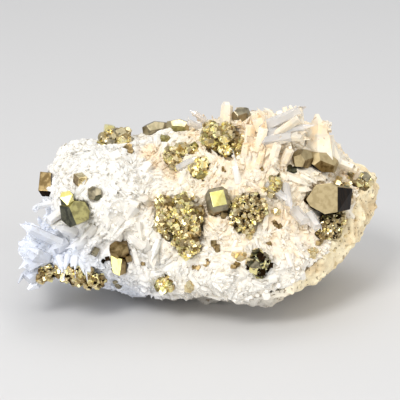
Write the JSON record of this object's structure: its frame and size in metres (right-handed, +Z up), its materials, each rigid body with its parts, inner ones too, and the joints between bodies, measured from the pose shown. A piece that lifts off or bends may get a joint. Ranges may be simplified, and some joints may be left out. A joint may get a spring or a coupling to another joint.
{
  "type": "pyrite with quartz cluster",
  "caption": "Hand-sized mineral specimen: milky quartz crystals on a piece of wall rock, set with brassy pyrite crystals and granular pyrite, resting on a small flat spot.",
  "frame": {"origin": "on the small flat spot of the underside that the specimen rests on, near that spot's centre", "axes": "+X along the specimen's length to the end where the wall rock shows, +Z up, -Y towards the side that it is shown from"},
  "size_m": [0.1014, 0.0642, 0.0571],
  "materials": {
    "milky_quartz": "sugary to glassy, bluish white at one end and cream to peach where iron has stained it",
    "wall_rock": "matt, granular, tan with brown specks and small pits",
    "pyrite": "bright metallic, brassy yellow, dulled olive on some faces"
  },
  "bodies": {
    "root": {"host_rock": "wall_rock", "pyrite_back_large": "pyrite", "pyrite_back_right": "pyrite", "pyrite_diamond": "pyrite", "pyrite_dome_front": "pyrite", "pyrite_dome_top": "pyrite", "pyrite_dome_top_left": "pyrite", "pyrite_front_low": "pyrite", "pyrite_left_brown": "pyrite", "pyrite_left_dark": "pyrite", "pyrite_left_edge": "pyrite", "pyrite_left_pair": "pyrite", "pyrite_low_left": "pyrite", "pyrite_low_left_right": "pyrite", "pyrite_patch_middle": "pyrite", "pyrite_patch_right": "pyrite", "pyrite_right_gold": "pyrite", "pyrite_right_large": "pyrite", "pyrite_right_ridge": "pyrite", "pyrite_ring_left": "pyrite", "pyrite_ring_right": "pyrite", "pyrite_striated": "pyrite", "pyrite_tip_right": "pyrite", "pyrite_top_dull": "pyrite", "pyrite_top_lozenge": "pyrite", "pyrite_top_lozenge_right": "pyrite", "pyrite_under_left": "pyrite", "pyrite_under_right": "pyrite", "pyrite_yellow": "pyrite", "quartz_bed": "milky_quartz"}
  },
  "joints": []
}
